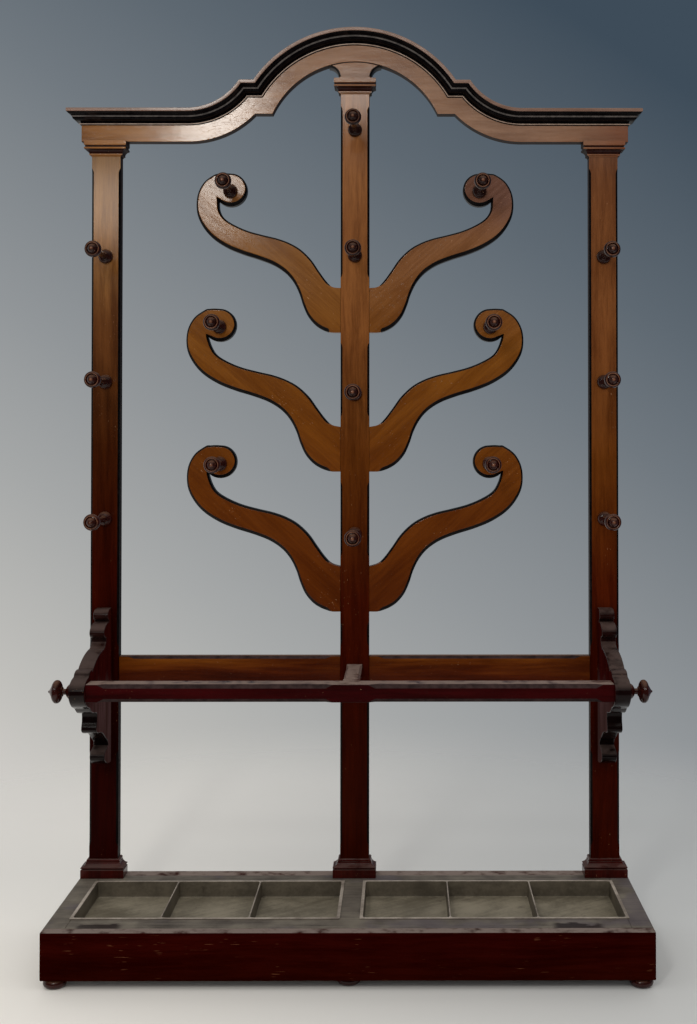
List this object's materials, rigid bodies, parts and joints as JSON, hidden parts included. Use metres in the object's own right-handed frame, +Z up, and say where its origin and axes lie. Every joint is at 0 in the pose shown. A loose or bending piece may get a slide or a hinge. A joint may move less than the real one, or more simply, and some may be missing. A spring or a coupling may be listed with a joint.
{
  "type": "hall tree",
  "caption": "Free-standing hall stand with arched crest, scrolled hat arms, turned coat pegs, stick rail and lift-out drip trays in a low box base.",
  "frame": {"origin": "centre of the footprint at floor level", "axes": "+X to the right seen from the front, -Y towards the front, +Z up"},
  "size_m": [1.3446, 0.38, 2.0975],
  "materials": {
    "mahogany": "polished, mid red-brown",
    "dark_mahogany": "polished, dark maroon",
    "turned_mahogany": "polished, turned",
    "ebonised": "ebonised, glossy",
    "dusty_board": "dull, dusty and stained",
    "tray_metal": "dull grey-olive, worn pale at the rim"
  },
  "bodies": {
    "stand": {"base_front_rail": "dark_mahogany", "base_back_rail": "dark_mahogany", "base_left_end": "dark_mahogany", "base_right_end": "dark_mahogany", "base_centre_rail": "dark_mahogany", "base_top_front": "dusty_board", "base_top_back": "dusty_board", "foot_front_left": "turned_mahogany", "foot_front_centre": "turned_mahogany", "foot_front_right": "turned_mahogany", "foot_back_left": "turned_mahogany", "foot_back_right": "turned_mahogany", "post_left": "mahogany", "post_centre": "mahogany", "post_right": "mahogany", "plinth_block_left": "dark_mahogany", "plinth_block_centre": "dark_mahogany", "plinth_block_right": "dark_mahogany", "capital_left": "mahogany", "capital_centre": "mahogany", "capital_right": "mahogany", "centre_head_block": "mahogany", "crest_board": "mahogany", "cornice_left": "ebonised", "cornice_arch": "ebonised", "cornice_right": "ebonised", "scroll_arm_lower_left": "mahogany", "scroll_arm_lower_right": "mahogany", "scroll_arm_middle_left": "mahogany", "scroll_arm_middle_right": "mahogany", "scroll_arm_upper_left": "mahogany", "scroll_arm_upper_right": "mahogany", "coat_peg_arm_lower_left": "turned_mahogany", "coat_peg_arm_lower_right": "turned_mahogany", "coat_peg_arm_middle_left": "turned_mahogany", "coat_peg_arm_middle_right": "turned_mahogany", "coat_peg_arm_upper_left": "turned_mahogany", "coat_peg_arm_upper_right": "turned_mahogany", "coat_peg_centre_1": "turned_mahogany", "coat_peg_centre_2": "turned_mahogany", "coat_peg_centre_3": "turned_mahogany", "coat_peg_centre_4": "turned_mahogany", "coat_peg_left_1": "turned_mahogany", "coat_peg_left_2": "turned_mahogany", "coat_peg_left_3": "turned_mahogany", "coat_peg_right_1": "turned_mahogany", "coat_peg_right_2": "turned_mahogany", "coat_peg_right_3": "turned_mahogany", "mid_rail_left": "dark_mahogany", "mid_rail_right": "dark_mahogany", "stick_rail": "dark_mahogany", "stick_rail_centre_arm": "dark_mahogany", "side_bracket_left": "dark_mahogany", "side_bracket_right": "dark_mahogany", "side_knob_left": "turned_mahogany", "side_knob_right": "turned_mahogany"},
    "left_tray": {"drip_tray_left": "tray_metal"},
    "right_tray": {"drip_tray_right": "tray_metal"}
  },
  "joints": [
    {"name": "left_tray_lift", "type": "slide", "parent": "stand", "child": "left_tray", "axis": [0, 0, 1], "range_m": [0, 0.15]},
    {"name": "right_tray_lift", "type": "slide", "parent": "stand", "child": "right_tray", "axis": [0, 0, 1], "range_m": [0, 0.15]}
  ]
}
